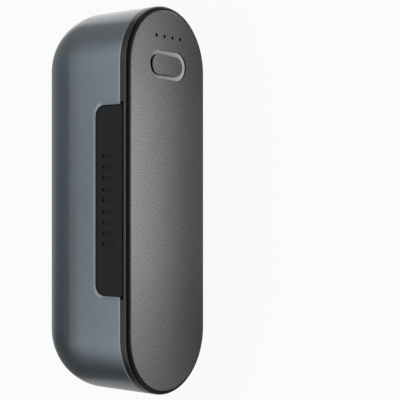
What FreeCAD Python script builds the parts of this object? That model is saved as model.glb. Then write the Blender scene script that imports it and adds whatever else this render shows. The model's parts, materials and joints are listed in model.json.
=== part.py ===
import FreeCAD
import Part
import math
import os

# Rechargeable hand warmer, in millimetres.
# Each piece is drawn with the unit lying on its round back: x runs across it, y along it towards the
# button end, and z up from the back to the front plate. At the end the whole unit is turned onto the flat
# side that it rests on. The body is sized round its cell: 105 long, 33.4 wide and 36.7 deep.

Vector = FreeCAD.Vector

# Battery cell
CELL_DIAMETER = 21.2
CELL_LENGTH = 70.0
CELL_EDGE_ROUNDING = 0.8
CELL_CAP_DIAMETER = 8.4
CELL_CAP_HEIGHT = 0.8
CELL_RING_WIDTH = 4.0
CELL_RING_THICKNESS = 0.4
CELL_CLEARANCE = 0.15
TAB_WIDTH = 5.0
TAB_THICKNESS = 0.2
TAB_REACH = 3.0
TAB_ROOM = 1.2
PAD_WIDTH = 9.0
PAD_LENGTH = 6.0

# Shell and chassis
SHELL_WALL = 1.2
BACK_FLAT = 1.8
BACK_ROOM = 2.2
SIDE_ROOM = 3.25
END_ROOM = 16.3
RIM_BEVEL_WIDTH = 0.1
RIM_BEVEL_DEPTH = 0.35
NOTCH_BEVEL_WIDTH = 0.7
NOTCH_BEVEL_DEPTH = 0.24
CRADLE_WALL = 1.5
END_WALL = 1.2
RIB_THICKNESS = 1.4
RIB_COUNT = 5
RIB_MARGIN = 4.0
POST_RADIUS = 1.9

# Side panels
PANEL_LENGTH = 49.9
PANEL_BACK_REACH = 4.78
PANEL_FRONT_REACH = 4.36
PANEL_OVERLAP = 0.6
PANEL_CORNER = 2.7
PANEL_FRONT_CORNER = 0.6
PANEL_EDGE_ROUNDING = 0.15
PANEL_GAP = 0.15
PANEL_FRONT_GAP = 0.6
PANEL_FRONT_GAP_DEPTH = 0.9
PANEL_RECESS = 0.3
PANEL_LIP = 1.2
PANEL_LIP_THICKNESS = 1.0
GROOVE_COUNT = 9
GROOVE_PITCH = 2.9
GROOVE_WIDTH = 1.0
GROOVE_LENGTH = 4.6
GROOVE_DEPTH = 0.3

# Bezel and front plate
BEZEL_HEIGHT = 2.7
BEZEL_EDGE_RADIUS = 1.05
BEZEL_FLAT = 0.05
REVEAL_GAP = 0.12
SKIRT_DEPTH = 2.0
SKIRT_THICKNESS = 1.0
SKIRT_CLEARANCE = 0.15
WEB_THICKNESS = 1.0
BOSS_WALL = 0.5
BOSS_HEIGHT = 1.0
PLATE_THICKNESS = 1.0
PLATE_RISE = 0.22
PLATE_BEVEL_WIDTH = 0.35
PLATE_BEVEL_DEPTH = 0.12
PLATE_CLEARANCE = 0.05
ADHESIVE_THICKNESS = 0.25
ADHESIVE_WIDTH = 2.0
ADHESIVE_MARGIN = 0.3

# Power button, its light ring and its switch
BUTTON_LENGTH = 13.0
BUTTON_WIDTH = 5.3
BUTTON_FROM_END = 16.0
BUTTON_RECESS = 0.25
BUTTON_EDGE_ROUNDING = 0.2
BUTTON_CLEARANCE = 0.12
BUTTON_FLANGE_LIP = 0.7
BUTTON_FLANGE_THICKNESS = 0.6
BUTTON_FLANGE_GAP = 0.1
BUTTON_PLAY = 0.05
BUTTON_TRAVEL = 0.3
STEM_DIAMETER = 3.6
RING_WIDTH = 1.05
RING_RECESS = 0.4
RING_LAND = 0.1
RING_SLOPE_DEPTH = 0.6
RING_FLANGE_LIP = 0.9
RING_FLANGE_THICKNESS = 0.5
RING_CLEARANCE = 0.05
SWITCH_SIZE = 4.5
SWITCH_HEIGHT = 1.0
SWITCH_FLOOR = 0.2
PLUNGER_DIAMETER = 2.0
PLUNGER_RISE = 0.6
PLUNGER_CLEARANCE = 0.06

# Indicators
LED_COUNT = 4
LED_PITCH = 3.44
LED_FROM_END = 8.35
LED_HOLE_DIAMETER = 0.95
LED_LENGTH = 1.6
LED_WIDTH = 0.8
LED_HEIGHT = 0.6
GUIDE_WIDTH = 2.0
GUIDE_LEG_DIAMETER = 1.4
GUIDE_CLEARANCE = 0.1
GUIDE_FLANGE_LIP = 0.6
GUIDE_FLANGE_THICKNESS = 0.5
GUIDE_LED_GAP = 0.15

# Sockets
PORT_PITCH = 19.0
PORT_SETBACK = 0.3
PORT_CLEARANCE = 0.94
PORT_WINDOW_GAP = 0.15
PORT_WALL = 0.3
PORT_EAR = 1.2
USB_A_WIDTH = 13.1
USB_A_HEIGHT = 5.7
USB_A_DEPTH = 14.0
USB_A_CORNER = 0.6
USB_A_TONGUE_WIDTH = 11.1
USB_A_TONGUE_HEIGHT = 1.84
USB_A_TONGUE_OFFSET = 1.0
USB_A_TONGUE_DEPTH = 8.2
USB_C_WIDTH = 8.94
USB_C_HEIGHT = 3.26
USB_C_DEPTH = 7.4
USB_C_TONGUE_WIDTH = 6.7
USB_C_TONGUE_HEIGHT = 0.7
USB_C_TONGUE_DEPTH = 4.6
PORT_BASE = 1.4
PORT_BASE_GAP = 0.03
CONTACT_THICKNESS = 0.12
CONTACT_SETBACK = 0.4
USB_A_CONTACT_WIDTH = 1.0
USB_A_CONTACT_INNER = 1.0
USB_A_CONTACT_OUTER = 3.5
USB_C_CONTACT_COUNT = 12
USB_C_CONTACT_PITCH = 0.5
USB_C_CONTACT_WIDTH = 0.26

# Circuit board
BOARD_THICKNESS = 1.0
BOARD_GAP = 0.4
BOARD_END_MARGIN = 3.0
BOARD_TIP_MARGIN = 2.2
BOARD_SIDE_GAP = 0.85
CHIP_SIZE = 5.0
CHIP_HEIGHT = 0.9
INDUCTOR_SIZE = 6.0
INDUCTOR_HEIGHT = 2.6
INDUCTOR_ROUNDING = 1.0
CAPACITOR_COUNT = 4
CAPACITOR_PITCH = 4.0
CAPACITOR_LENGTH = 2.0
CAPACITOR_WIDTH = 1.25
CAPACITOR_HEIGHT = 1.25

# Screws
SCREW_RADIUS = 0.8
SCREW_LENGTH = 5.0
SCREW_HEAD_RADIUS = 1.6
SCREW_HEAD_HEIGHT = 0.9
SCREW_SLOT_WIDTH = 0.4
SCREW_SLOT_DEPTH = 0.4
SCREW_CLEARANCE = 0.05
SCREW_HEAD_CLEARANCE = 0.15
SCREW_EDGE_GAP = 1.3

# Heaters, their leads and the sensor
FILM_THICKNESS = 0.2
FILM_GAP = 0.03
FILM_LENGTH = 64.0
FILM_RISE = 2.5
FILM_EDGE_GAP = 0.5
FRONT_FILM_SETBACK = 9.0
LEAD_DIAMETER = 0.9
LEAD_SPACING = 2.8
LEAD_BEND = 1.2
LEAD_SLOT_LENGTH = 6.0
LEAD_SLOT_WIDTH = 3.0
LEAD_OVERLAP = 2.0
SENSOR_WIDTH = 1.6
SENSOR_LENGTH = 3.2
SENSOR_HEIGHT = 1.0

# Small gap between seated pieces, and how far a cutting form passes a face
SEAT_GAP = 0.05
CUT_PAST = 2.0

# Across and along the body
cell_radius = CELL_DIAMETER / 2
channel_half = cell_radius + CELL_CLEARANCE
cradle_half = channel_half + CRADLE_WALL
half_width = cradle_half + SIDE_ROOM + SHELL_WALL
half_length = CELL_LENGTH / 2 + END_ROOM + SHELL_WALL
straight = 2 * (half_length - half_width)
back_radius = half_width - BACK_FLAT / 2
cell_end = CELL_LENGTH / 2
cradle_inner_end = cell_end + TAB_ROOM
cradle_end = cradle_inner_end + END_WALL

# Up from the back to the front face
cell_z = SHELL_WALL + BACK_ROOM + cradle_half
port_z = cell_z + cell_radius + PORT_CLEARANCE + USB_A_HEIGHT / 2
panel_back = port_z - PANEL_BACK_REACH
panel_front = port_z + PANEL_FRONT_REACH
panel_middle = (panel_back + panel_front) / 2
rim_z = panel_front - PANEL_OVERLAP
bezel_top = rim_z + BEZEL_HEIGHT
body_depth = bezel_top + PLATE_RISE
plate_bottom = body_depth - PLATE_THICKNESS
web_top = plate_bottom - ADHESIVE_THICKNESS
web_bottom = web_top - WEB_THICKNESS
bezel_bottom = rim_z + REVEAL_GAP
skirt_bottom = rim_z - SKIRT_DEPTH
board_top = port_z + BOARD_THICKNESS / 2
board_bottom = port_z - BOARD_THICKNESS / 2

# Bezel, plate and adhesive, as distances in from the body's outline
plate_inset = BEZEL_EDGE_RADIUS + BEZEL_FLAT
skirt_outer = SHELL_WALL + SKIRT_CLEARANCE
skirt_inner = skirt_outer + SKIRT_THICKNESS
adhesive_outer = plate_inset + PLATE_CLEARANCE + ADHESIVE_MARGIN
adhesive_inner = adhesive_outer + ADHESIVE_WIDTH

# Side panels
notch_half = PANEL_LENGTH / 2 + PANEL_GAP
notch_back = panel_back - PANEL_GAP
flange_half = notch_half + PANEL_LIP
flange_back = notch_back - PANEL_LIP
flange_front = rim_z - PANEL_GAP
panel_face = half_width - PANEL_RECESS
flange_face = half_width - SHELL_WALL - SEAT_GAP
panel_inner = flange_face - PANEL_LIP_THICKNESS

# Sockets
mouth = panel_face - PORT_SETBACK
usb_a_y = -PORT_PITCH / 2
usb_c_y = PORT_PITCH / 2

# Screw posts and circuit board
post_x = half_width - skirt_inner - SCREW_HEAD_CLEARANCE - POST_RADIUS
boss_radius = POST_RADIUS + BOSS_WALL
post_y = flange_half + PANEL_GAP + boss_radius
post_bottom = cell_z + cell_radius / 2
boss_bottom = web_bottom - BOSS_HEIGHT
board_half = panel_inner - BOARD_SIDE_GAP
board_screw_x = channel_half + CRADLE_WALL / 2
screw_reach = SCREW_HEAD_RADIUS + SCREW_EDGE_GAP
board_screw_low = usb_a_y - USB_A_WIDTH / 2 - PORT_EAR - screw_reach
board_screw_high = usb_c_y + USB_C_WIDTH / 2 + PORT_EAR + screw_reach
board_low = board_screw_low - BOARD_END_MARGIN
board_high = board_screw_high + BOARD_END_MARGIN
neck_half = post_x - boss_radius - BOARD_GAP
led_y = half_length - LED_FROM_END
button_y = half_length - BUTTON_FROM_END

# Button and light ring
bore_margin = 2 * BUTTON_CLEARANCE
ring_margin = bore_margin + 2 * RING_WIDTH
opening_margin = ring_margin + 2 * RING_CLEARANCE
button_top = body_depth - BUTTON_RECESS
ring_top = body_depth - RING_RECESS
ring_flange_top = web_bottom - SEAT_GAP
ring_bottom = ring_flange_top - RING_FLANGE_THICKNESS
button_flange_top = ring_bottom - BUTTON_FLANGE_GAP
button_flange_bottom = button_flange_top - BUTTON_FLANGE_THICKNESS
switch_top = board_top + SWITCH_HEIGHT
plunger_top = switch_top + PLUNGER_RISE
plunger_bottom = board_top + SWITCH_FLOOR + PLUNGER_CLEARANCE + BUTTON_TRAVEL

# Heaters
film_outer = SHELL_WALL + FILM_GAP
film_inner = film_outer + FILM_THICKNESS
rib_outer = film_inner + SEAT_GAP
film_top = back_radius + FILM_RISE
rib_pitch = (FILM_LENGTH - 2 * RIB_MARGIN) / (RIB_COUNT - 1)
front_film_end = button_y - FRONT_FILM_SETBACK
lead_slot_y = board_low - LEAD_SLOT_WIDTH


def corner_points(half_a, half_b, sign_a, sign_b, radius):
    """First, middle and last point of one corner's arc, anticlockwise."""
    centre_a = sign_a * (half_a - radius)
    centre_b = sign_b * (half_b - radius)
    lean = radius * math.sqrt(0.5)
    beside = (centre_a + sign_a * radius, centre_b)
    above = (centre_a, centre_b + sign_b * radius)
    middle = (centre_a + sign_a * lean, centre_b + sign_b * lean)
    if sign_a * sign_b > 0:
        return beside, middle, above
    return above, middle, beside


def rounded_outline(place, size_a, size_b, radii):
    """Closed rectangle outline with one radius per corner, from the lower left one anticlockwise."""
    signs = ((-1, -1), (1, -1), (1, 1), (-1, 1))
    corners = []
    for (sign_a, sign_b), radius in zip(signs, radii):
        points = corner_points(size_a / 2, size_b / 2, sign_a, sign_b, radius)
        corners.append([place(a, b) for a, b in points])
    edges = []
    for index, (first, middle, last) in enumerate(corners):
        if first.distanceToPoint(last) > Part.Precision.confusion():
            edges.append(Part.Arc(first, middle, last).toShape())
        following = corners[(index + 1) % len(corners)][0]
        if last.distanceToPoint(following) > Part.Precision.confusion():
            edges.append(Part.LineSegment(last, following).toShape())
    return Part.Wire(edges)


def plan_outline(x, y, size_x, size_y, radius, z):
    """Rounded rectangle in plan at height z."""
    return rounded_outline(lambda a, b: Vector(x + a, y + b, z), size_x, size_y, [radius] * 4)


def upright(x, y, size_x, size_y, radius, bottom, top):
    """Rounded rectangle in plan, standing from bottom to top."""
    wire = plan_outline(x, y, size_x, size_y, radius, bottom)
    return Part.Face(wire).extrude(Vector(0, 0, top - bottom))


def sideways(y, z, size_y, size_z, radii, inner, outer):
    """Rounded rectangle in side view, running across the body from inner to outer."""
    wire = rounded_outline(lambda a, b: Vector(inner, y + a, z + b), size_y, size_z, radii)
    return Part.Face(wire).extrude(Vector(outer - inner, 0, 0))


def stadium(x, y, size_x, size_y, bottom, top):
    """Upright form with round ends."""
    return upright(x, y, size_x, size_y, min(size_x, size_y) / 2, bottom, top)


def block(x_low, x_high, y_low, y_high, z_low, z_high):
    corner = Vector(x_low, y_low, z_low)
    return Part.makeBox(x_high - x_low, y_high - y_low, z_high - z_low, corner)


def rod(x, y, radius, bottom, top):
    return Part.makeCylinder(radius, top - bottom, Vector(x, y, bottom))


def lying_rod(radius, y_low, y_high):
    """Cylinder along the cell's axis."""
    return Part.makeCylinder(radius, y_high - y_low, Vector(0, y_low, cell_z), Vector(0, 1, 0))


def mirrored(shape):
    return shape.mirror(Vector(0, 0, 0), Vector(1, 0, 0))


def half_section(half, bottom, top, base_radius, top_radius, top_bevel):
    """Right half of the body's cross-section, closed along its middle.

    Its upper edge is rounded by top_radius, or bevelled by a width and a depth.
    """
    lean = math.sqrt(0.5)
    bevel_width, bevel_depth = top_bevel
    trim_width = max(top_radius, bevel_width)
    trim_depth = max(top_radius, bevel_depth)
    base_end = Vector(half - base_radius, 0, bottom)
    side_start = Vector(half, 0, bottom + base_radius)
    side_end = Vector(half, 0, top - trim_depth)
    top_start = Vector(half - trim_width, 0, top)
    edges = [Part.LineSegment(Vector(0, 0, bottom), base_end).toShape()]
    if base_radius > 0:
        drop = base_radius * (1 - lean)
        edges.append(Part.Arc(base_end, Vector(half - drop, 0, bottom + drop), side_start).toShape())
    edges.append(Part.LineSegment(side_start, side_end).toShape())
    if top_radius > 0:
        drop = top_radius * (1 - lean)
        edges.append(Part.Arc(side_end, Vector(half - drop, 0, top - drop), top_start).toShape())
    elif bevel_width > 0:
        edges.append(Part.LineSegment(side_end, top_start).toShape())
    edges.append(Part.LineSegment(top_start, Vector(0, 0, top)).toShape())
    edges.append(Part.LineSegment(Vector(0, 0, top), Vector(0, 0, bottom)).toShape())
    return Part.Face(Part.Wire(edges))


def body_form(inset, bottom, top, base_radius=0.0, top_radius=0.0, top_bevel=(0.0, 0.0)):
    """The body's pill outline drawn in by inset, as a solid from bottom to top."""
    section = half_section(half_width - inset, bottom, top, base_radius, top_radius, top_bevel)
    along = Vector(0, straight / 2, 0)
    right = section.translated(-along).extrude(2 * along)
    far_end = section.revolve(Vector(0, 0, 0), Vector(0, 0, 1), 180).translated(along)
    near_end = section.revolve(Vector(0, 0, 0), Vector(0, 0, 1), -180).translated(-along)
    return right.fuse([mirrored(right), far_end, near_end]).removeSplitter()


def rounded_back(inset, top):
    """The inside of the tub, drawn in by inset all over."""
    return body_form(inset, inset, top, base_radius=back_radius - inset)


def cable(points, radius, bend):
    """Round lead along straight runs joined by arcs."""
    edges = []
    start = points[0]
    for before, corner, after in zip(points, points[1:], points[2:]):
        back = (before - corner).normalize()
        ahead = (after - corner).normalize()
        half_angle = back.getAngle(ahead) / 2
        reach = bend / math.tan(half_angle)
        middle_way = (back + ahead).normalize()
        first = corner + back * reach
        last = corner + ahead * reach
        middle = corner + middle_way * (bend / math.sin(half_angle) - bend)
        edges.append(Part.LineSegment(start, first).toShape())
        edges.append(Part.Arc(first, middle, last).toShape())
        start = last
    edges.append(Part.LineSegment(start, points[-1]).toShape())
    ring = Part.Wire(Part.makeCircle(radius, points[0], points[1] - points[0]))
    return Part.Wire(edges).makePipeShell([ring], True, False)


def four_places(x, y_low, y_high):
    return [(side * x, y) for y in (y_low, y_high) for side in (-1, 1)]


post_places = four_places(post_x, -post_y, post_y)
board_screw_places = four_places(board_screw_x, board_screw_low, board_screw_high)
led_places = [LED_PITCH * (index - (LED_COUNT - 1) / 2) for index in range(LED_COUNT)]


def notch_outline(grow, x):
    """Outline of a side panel's opening at x, grown all round and reaching past the rim."""
    front = rim_z + CUT_PAST
    back = notch_back - grow
    middle = (back + front) / 2
    radius = PANEL_CORNER + PANEL_GAP + grow
    radii = [radius, radius, 0, 0]
    length = 2 * (notch_half + grow)
    return rounded_outline(lambda a, b: Vector(x, a, middle + b), length, front - back, radii)


def notch_forms():
    """The opening for one side panel, on the right-hand side, and the bevel round it."""
    inner = half_width - SHELL_WALL - CUT_PAST
    opening = Part.Face(notch_outline(0, inner)).extrude(Vector(half_width + CUT_PAST - inner, 0, 0))
    bevel_start = notch_outline(0, half_width - NOTCH_BEVEL_DEPTH)
    bevel_end = notch_outline(NOTCH_BEVEL_WIDTH, half_width)
    return [opening, Part.makeLoft([bevel_start, bevel_end], True, True)]


def make_shell():
    bevel = (RIM_BEVEL_WIDTH, RIM_BEVEL_DEPTH)
    tub = body_form(0, 0, rim_z, base_radius=back_radius, top_bevel=bevel)
    tub = tub.cut(rounded_back(SHELL_WALL, rim_z + CUT_PAST))
    forms = notch_forms()
    return tub.cut(forms + [mirrored(form) for form in forms])


def panel_pad():
    """Visible pad of a side panel with its outer edge rounded, on the right-hand side."""
    low = PANEL_CORNER
    high = PANEL_FRONT_CORNER
    height = panel_front - panel_back
    pad = sideways(0, panel_middle, PANEL_LENGTH, height, [low, low, high, high], panel_inner, panel_face)
    rim = [edge for edge in pad.Edges if edge.BoundBox.XMin > panel_face - SEAT_GAP]
    return pad.makeFillet(min(PANEL_EDGE_ROUNDING, high / 2), rim)


def panel_body():
    """Pad with the flange that holds it behind the shell wall."""
    radius = PANEL_CORNER + PANEL_GAP + PANEL_LIP
    middle = (flange_back + flange_front) / 2
    height = flange_front - flange_back
    flange = sideways(0, middle, 2 * flange_half, height, [radius, radius, 0, 0], panel_inner, flange_face)
    return panel_pad().fuse(flange).removeSplitter()


def make_side_grip():
    grooves = []
    for index in range(GROOVE_COUNT):
        y = GROOVE_PITCH * (index - (GROOVE_COUNT - 1) / 2)
        radii = [GROOVE_WIDTH / 2] * 4
        floor = panel_face - GROOVE_DEPTH
        outer = panel_face + CUT_PAST
        grooves.append(sideways(y, panel_middle, GROOVE_WIDTH, GROOVE_LENGTH, radii, floor, outer))
    return mirrored(panel_body().cut(grooves))


def socket_form(y, width, height, corner, inner, outer, grow):
    """Outline of a socket grown all round, running across the body."""
    radius = corner + grow
    return sideways(y, port_z, width + 2 * grow, height + 2 * grow, [radius] * 4, inner, outer)


def usb_a_form(inner, outer, grow):
    return socket_form(usb_a_y, USB_A_WIDTH, USB_A_HEIGHT, USB_A_CORNER, inner, outer, grow)


def usb_c_form(inner, outer, grow):
    return socket_form(usb_c_y, USB_C_WIDTH, USB_C_HEIGHT, USB_C_HEIGHT / 2, inner, outer, grow)


def make_port_panel():
    inner = panel_inner - CUT_PAST
    outer = panel_face + CUT_PAST
    windows = [form(inner, outer, PORT_WINDOW_GAP) for form in (usb_a_form, usb_c_form)]
    return panel_body().cut(windows)


def make_socket_shell(form, y, width, depth):
    """Folded metal shell with an open mouth, a closed back and an ear on the board each side."""
    back = mouth - depth
    shell = form(back, mouth, 0).cut(form(back + PORT_WALL, mouth + CUT_PAST, -PORT_WALL))
    for side in (-1, 1):
        inner = y + side * (width / 2 - PORT_WALL)
        outer = y + side * (width / 2 + PORT_EAR)
        ear = block(back, min(back + depth / 2, board_half), min(inner, outer), max(inner, outer),
                    board_top, board_top + PORT_WALL)
        shell = shell.fuse(ear.cut(form(back, mouth, -PORT_WALL)))
    return shell.removeSplitter()


def socket_back(depth):
    """Where the insulating base starts inside a socket's shell."""
    return mouth - depth + PORT_WALL + PORT_BASE_GAP


def make_socket_tongue(form, y, depth, tongue_width, tongue_height, tongue_offset, tongue_depth):
    """Insulating base that fills the back of the shell, with the contact tongue on it."""
    back = socket_back(depth)
    front = back + PORT_BASE
    base = form(back, front, -PORT_WALL - PORT_BASE_GAP)
    z = port_z + tongue_offset
    tongue = block(back, front + tongue_depth, y - tongue_width / 2, y + tongue_width / 2,
                   z - tongue_height / 2, z + tongue_height / 2)
    return base.fuse(tongue).removeSplitter()


def contact_strips(centres, width, depth, tongue_depth, z):
    """Contact strips along a tongue, from its base almost to its tip, with their lower faces at z."""
    start = socket_back(depth) + PORT_BASE
    end = start + tongue_depth - CONTACT_SETBACK
    half = width / 2
    return [block(start, end, y - half, y + half, z, z + CONTACT_THICKNESS) for y in centres]


def make_usb_a_contacts():
    """Four contacts on the tongue's face towards the wider side of the socket."""
    offsets = (-USB_A_CONTACT_OUTER, -USB_A_CONTACT_INNER, USB_A_CONTACT_INNER, USB_A_CONTACT_OUTER)
    centres = [usb_a_y + offset for offset in offsets]
    z = port_z + USB_A_TONGUE_OFFSET - USB_A_TONGUE_HEIGHT / 2 - CONTACT_THICKNESS
    strips = contact_strips(centres, USB_A_CONTACT_WIDTH, USB_A_DEPTH, USB_A_TONGUE_DEPTH, z)
    return Part.makeCompound(strips)


def make_usb_c_contacts():
    """A row of contacts on each face of the tongue."""
    middle = (USB_C_CONTACT_COUNT - 1) / 2
    centres = [usb_c_y + USB_C_CONTACT_PITCH * (index - middle) for index in range(USB_C_CONTACT_COUNT)]
    strips = []
    for z in (port_z + USB_C_TONGUE_HEIGHT / 2, port_z - USB_C_TONGUE_HEIGHT / 2 - CONTACT_THICKNESS):
        strips += contact_strips(centres, USB_C_CONTACT_WIDTH, USB_C_DEPTH, USB_C_TONGUE_DEPTH, z)
    return Part.makeCompound(strips)


def make_bezel():
    rim = body_form(0, bezel_bottom, bezel_top, top_radius=BEZEL_EDGE_RADIUS)
    skirt = body_form(skirt_outer, skirt_bottom, web_top)
    bezel = rim.fuse(skirt).cut(body_form(skirt_inner, skirt_bottom - CUT_PAST, web_bottom))
    bezel = bezel.fuse([rod(x, y, boss_radius, boss_bottom, web_top) for x, y in post_places])
    cuts = [body_form(plate_inset, web_top, body_depth + CUT_PAST)]
    inner = panel_inner - PANEL_GAP
    outer = half_width + CUT_PAST
    low = skirt_bottom - CUT_PAST
    pad_room = block(inner, outer, -notch_half, notch_half, low, panel_front + PANEL_GAP)
    groove_floor = half_width - PANEL_FRONT_GAP_DEPTH
    groove_end = notch_half + PANEL_FRONT_GAP
    groove = block(groove_floor, outer, -groove_end, groove_end, low, panel_front + PANEL_FRONT_GAP)
    flange_end = flange_half + PANEL_GAP
    flange_room = block(inner, half_width - SHELL_WALL, -flange_end, flange_end, low, rim_z)
    for room in (pad_room, groove, flange_room):
        cuts += [room, mirrored(room)]
    head_floor = web_top - SCREW_HEAD_HEIGHT - SEAT_GAP
    for x, y in post_places:
        cuts.append(rod(x, y, SCREW_HEAD_RADIUS + SCREW_CLEARANCE, head_floor, web_top + CUT_PAST))
        cuts.append(rod(x, y, SCREW_RADIUS + SCREW_CLEARANCE, boss_bottom - CUT_PAST, web_top))
    cuts.append(opening_form(web_bottom - CUT_PAST, web_top + CUT_PAST))
    cuts.append(guide_form(GUIDE_CLEARANCE, web_bottom - CUT_PAST, web_top + CUT_PAST))
    cuts.append(stadium(0, lead_slot_y, LEAD_SLOT_LENGTH, LEAD_SLOT_WIDTH, web_bottom - CUT_PAST, web_top))
    return bezel.cut(cuts).removeSplitter()


def button_outline(margin, z):
    """The button's outline, larger by margin, at height z."""
    length = BUTTON_LENGTH + margin
    width = BUTTON_WIDTH + margin
    return plan_outline(0, button_y, length, width, min(length, width) / 2, z)


def button_form(margin, bottom, top):
    """The button's outline, larger by margin, from bottom to top."""
    return Part.Face(button_outline(margin, bottom)).extrude(Vector(0, 0, top - bottom))


def opening_form(bottom, top):
    return button_form(opening_margin, bottom, top)


def make_front_plate():
    inset = plate_inset + PLATE_CLEARANCE
    bevel = (PLATE_BEVEL_WIDTH, PLATE_BEVEL_DEPTH)
    plate = body_form(inset, plate_bottom, body_depth, top_bevel=bevel)
    low = plate_bottom - CUT_PAST
    high = body_depth + CUT_PAST
    cuts = [rod(x, led_y, LED_HOLE_DIAMETER / 2, low, high) for x in led_places]
    cuts.append(opening_form(low, high))
    return plate.cut(cuts)


def make_plate_adhesive():
    bottom = web_top
    ring = body_form(adhesive_outer, bottom, plate_bottom)
    return ring.cut(body_form(adhesive_inner, bottom - CUT_PAST, plate_bottom + CUT_PAST))


def make_power_button():
    cap = button_form(0, button_flange_bottom, button_top)
    rim = [edge for edge in cap.Edges if edge.BoundBox.ZMin > button_top - SEAT_GAP]
    cap = cap.makeFillet(BUTTON_EDGE_ROUNDING, rim)
    flange = button_form(2 * BUTTON_FLANGE_LIP, button_flange_bottom, button_flange_top)
    stem = rod(0, button_y, STEM_DIAMETER / 2, plunger_top + BUTTON_PLAY, button_flange_top)
    return cap.fuse([flange, stem]).removeSplitter()


def make_button_light_ring():
    """Flanged ring round the button, its face sloping down towards the button."""
    ring = button_form(ring_margin, ring_bottom, ring_top)
    ring = ring.fuse(button_form(opening_margin + 2 * RING_FLANGE_LIP, ring_bottom, ring_flange_top))
    slope_start = button_outline(bore_margin, ring_top - RING_SLOPE_DEPTH)
    slope_end = button_outline(ring_margin - 2 * RING_LAND, ring_top)
    slope = Part.makeLoft([slope_start, slope_end], True, True)
    bore = button_form(bore_margin, ring_bottom - CUT_PAST, ring_top + CUT_PAST)
    return ring.cut([slope, bore]).removeSplitter()


def make_switch_body():
    half = SWITCH_SIZE / 2
    body = block(-half, half, button_y - half, button_y + half, board_top, switch_top)
    radius = PLUNGER_DIAMETER / 2 + PLUNGER_CLEARANCE
    return body.cut(rod(0, button_y, radius, board_top + SWITCH_FLOOR, switch_top + CUT_PAST))


def make_switch_plunger():
    return rod(0, button_y, PLUNGER_DIAMETER / 2, plunger_bottom, plunger_top)


def guide_form(grow, bottom, top):
    """Outline of the indicators' light guide, grown all round."""
    length = LED_PITCH * (LED_COUNT - 1) + GUIDE_WIDTH
    return stadium(0, led_y, length + 2 * grow, GUIDE_WIDTH + 2 * grow, bottom, top)


def make_indicator_light_guide():
    flange_top = web_bottom - SEAT_GAP
    flange_bottom = flange_top - GUIDE_FLANGE_THICKNESS
    bar = guide_form(0, flange_bottom, plate_bottom - SEAT_GAP)
    flange = guide_form(GUIDE_FLANGE_LIP, flange_bottom, flange_top)
    leg_bottom = board_top + LED_HEIGHT + GUIDE_LED_GAP
    legs = [rod(x, led_y, GUIDE_LEG_DIAMETER / 2, leg_bottom, flange_top) for x in led_places]
    return bar.fuse([flange] + legs).removeSplitter()


def led_at(x, y):
    return block(x - LED_WIDTH / 2, x + LED_WIDTH / 2, y - LED_LENGTH / 2, y + LED_LENGTH / 2,
                 board_top, board_top + LED_HEIGHT)


def make_indicator_leds():
    return Part.makeCompound([led_at(x, led_y) for x in led_places])


def make_ring_leds():
    x = (BUTTON_LENGTH + opening_margin) / 2 + RING_FLANGE_LIP / 2
    return Part.makeCompound([led_at(-x, button_y), led_at(x, button_y)])


def make_chassis():
    cradle = lying_rod(cradle_half, -cradle_end, cradle_end)
    cradle = cradle.fuse(block(-cradle_half, cradle_half, -cradle_end, cradle_end, cell_z, board_bottom))
    inside = rounded_back(rib_outer, film_top)
    for index in range(RIB_COUNT):
        y = rib_pitch * (index - (RIB_COUNT - 1) / 2)
        slab = block(-half_width, half_width, y - RIB_THICKNESS / 2, y + RIB_THICKNESS / 2, 0, film_top)
        cradle = cradle.fuse(inside.common(slab))
    channel = lying_rod(channel_half, -cradle_inner_end, cradle_inner_end)
    channel = channel.fuse(block(-channel_half, channel_half, -cradle_inner_end, cradle_inner_end,
                                 cell_z, board_bottom + CUT_PAST))
    cradle = cradle.cut(channel)
    bosses = [rod(x, y, POST_RADIUS, post_bottom, board_bottom) for x, y in board_screw_places]
    posts = [rod(x, y, POST_RADIUS, post_bottom, boss_bottom - SEAT_GAP) for x, y in post_places]
    cradle = cradle.fuse(bosses + posts)
    radius = SCREW_RADIUS + SCREW_CLEARANCE
    head_floor = web_top - SCREW_HEAD_HEIGHT - SEAT_GAP
    cuts = [rod(x, y, radius, board_top - SCREW_LENGTH - SEAT_GAP, board_top) for x, y in board_screw_places]
    cuts += [rod(x, y, radius, head_floor - SCREW_LENGTH - SEAT_GAP, web_top) for x, y in post_places]
    cuts.append(usb_a_form(mouth - USB_A_DEPTH - BOARD_GAP, half_width, BOARD_GAP))
    cuts.append(usb_c_form(mouth - USB_C_DEPTH - BOARD_GAP, half_width, BOARD_GAP))
    return cradle.cut(cuts).removeSplitter()


def make_control_board():
    wide = block(-board_half, board_half, board_low, board_high, board_bottom, board_top)
    neck = block(-neck_half, neck_half, board_low, led_y + BOARD_TIP_MARGIN, board_bottom, board_top)
    board = wide.fuse(neck).common(body_form(skirt_inner + BOARD_GAP, board_bottom, board_top))
    cuts = []
    for y, width, depth in ((usb_a_y, USB_A_WIDTH, USB_A_DEPTH), (usb_c_y, USB_C_WIDTH, USB_C_DEPTH)):
        half = width / 2 + SEAT_GAP
        cuts.append(block(mouth - depth - SEAT_GAP, half_width, y - half, y + half, board_bottom, board_top))
    for x, y in board_screw_places:
        cuts.append(rod(x, y, SCREW_RADIUS + SCREW_HEAD_CLEARANCE, board_bottom, board_top))
    return board.cut(cuts).removeSplitter()


def make_controller_chip():
    x = -board_half / 2
    half = CHIP_SIZE / 2
    return block(x - half, x + half, usb_c_y - half, usb_c_y + half, board_top, board_top + CHIP_HEIGHT)


def make_boost_inductor():
    top = board_top + INDUCTOR_HEIGHT
    return upright(-board_half / 2, usb_a_y, INDUCTOR_SIZE, INDUCTOR_SIZE, INDUCTOR_ROUNDING, board_top, top)


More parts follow.
